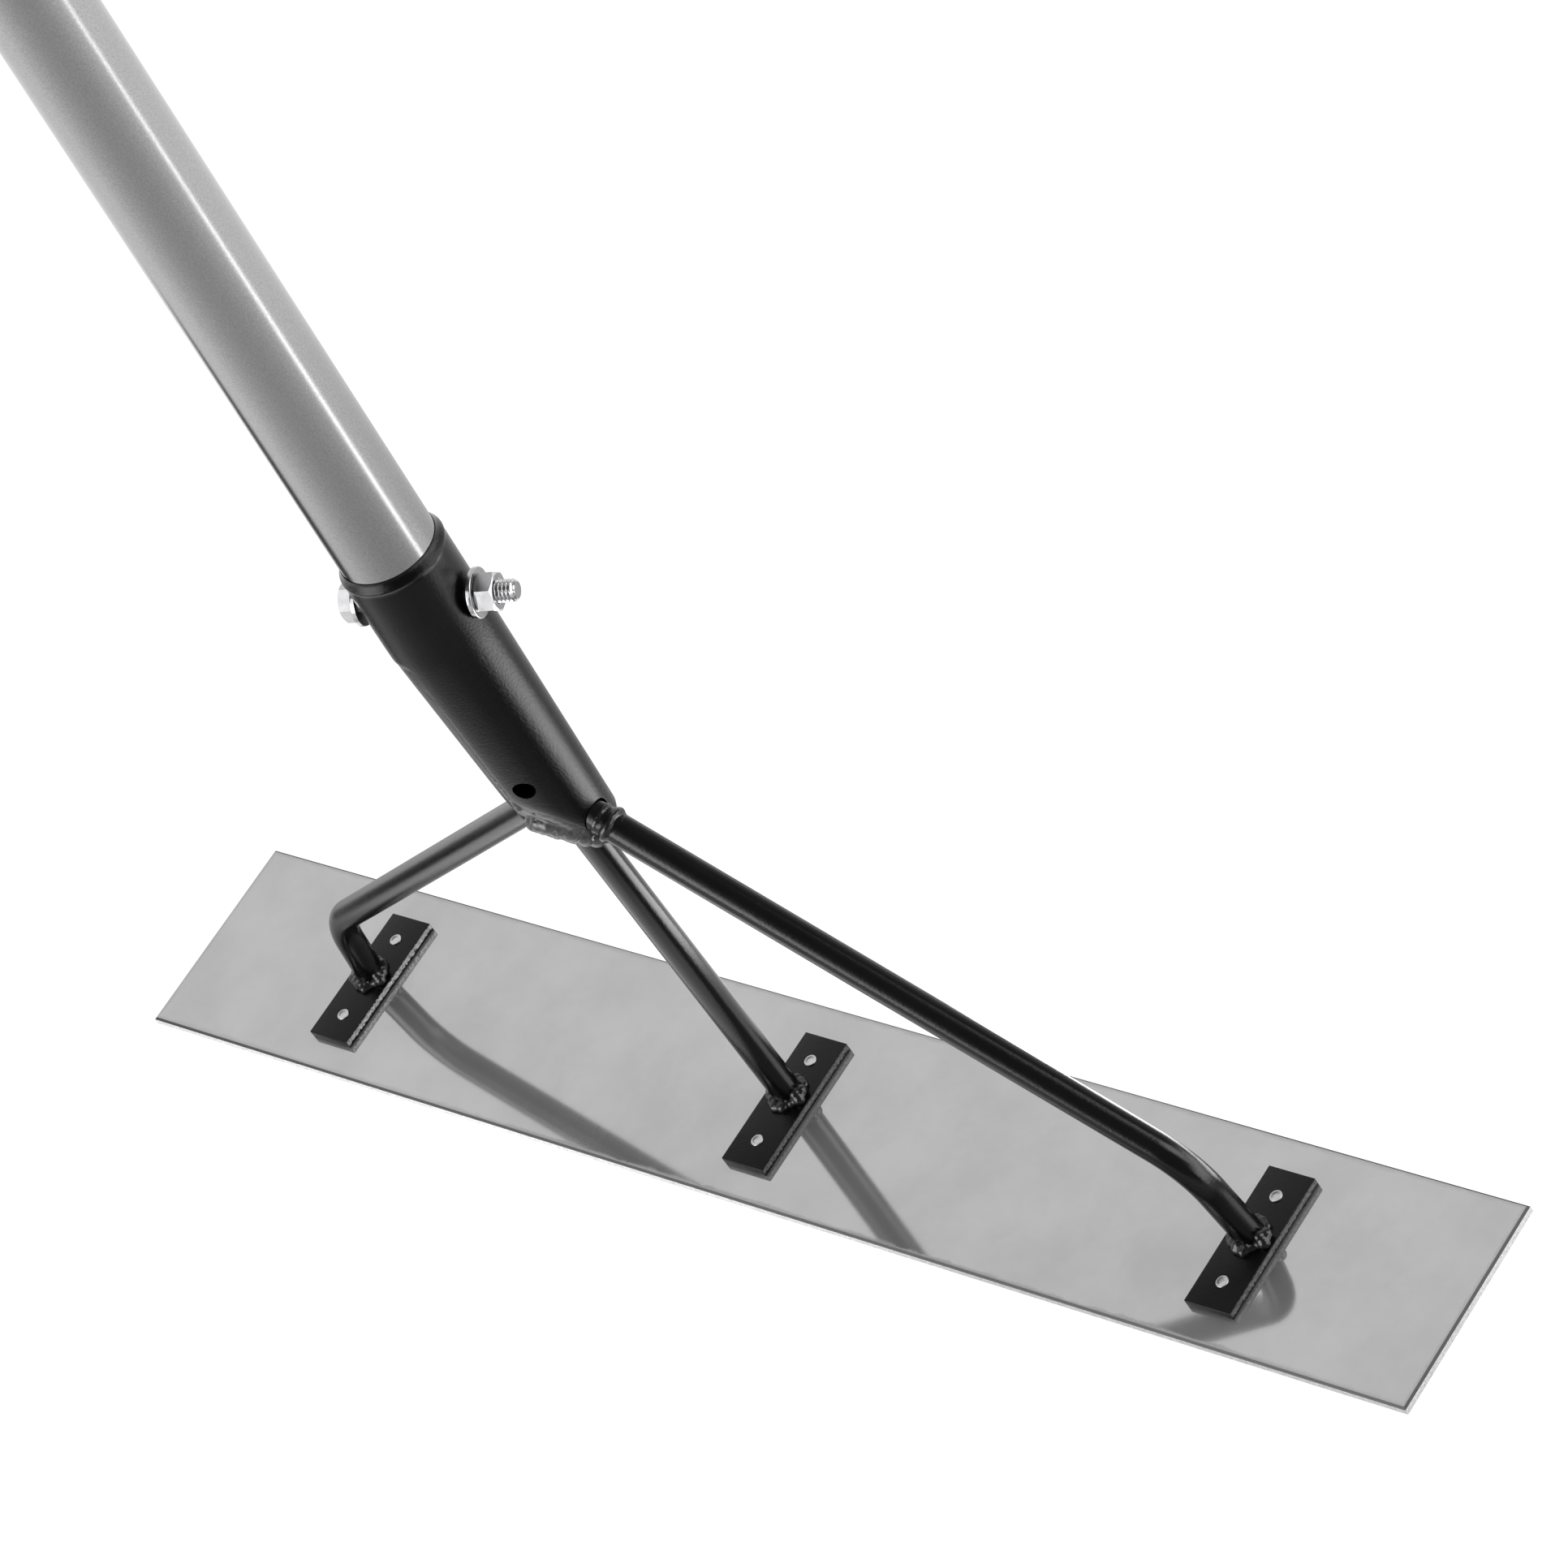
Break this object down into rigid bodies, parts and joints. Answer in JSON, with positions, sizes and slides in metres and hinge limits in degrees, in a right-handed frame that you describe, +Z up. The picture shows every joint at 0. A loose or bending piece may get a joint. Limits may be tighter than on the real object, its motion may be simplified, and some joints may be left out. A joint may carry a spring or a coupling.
{
  "type": "screed bar",
  "caption": "Long-handled screed bar: a flat metal blade carried by a three-legged rod frame that meets in a ferrule on a tube handle.",
  "frame": {"origin": "Centre of the blade's flat underside, which is the face that rests on the ground.", "axes": "X runs along the blade, Y across it towards the far edge, which is the side the handle leans to, and Z up."},
  "size_m": [0.6096, 0.1622, 1.8002],
  "materials": {
    "blade": "mill finish, lightly brushed, scuffed along the edges",
    "tube": "satin",
    "black_coat": "semi-gloss powder coat with slight orange peel",
    "zinc": "bright zinc plate",
    "rivet": "bright, worn",
    "grip": "matt"
  },
  "bodies": {
    "root": {"blade": "blade", "left_strap": "black_coat", "left_near_rivet": "rivet", "left_far_rivet": "rivet", "left_rod": "black_coat", "left_foot_weld": "black_coat", "middle_strap": "black_coat", "middle_near_rivet": "rivet", "middle_far_rivet": "rivet", "middle_rod": "black_coat", "middle_foot_weld": "black_coat", "right_strap": "black_coat", "right_near_rivet": "rivet", "right_far_rivet": "rivet", "right_rod": "black_coat", "right_foot_weld": "black_coat", "ferrule": "black_coat", "socket_weld": "black_coat", "left_arm_weld": "black_coat", "right_arm_weld": "black_coat", "handle_tube": "tube", "handle_grip": "grip", "bolt": "zinc", "bolt_nut": "zinc", "head_washer": "zinc", "nut_washer": "zinc"}
  },
  "joints": []
}
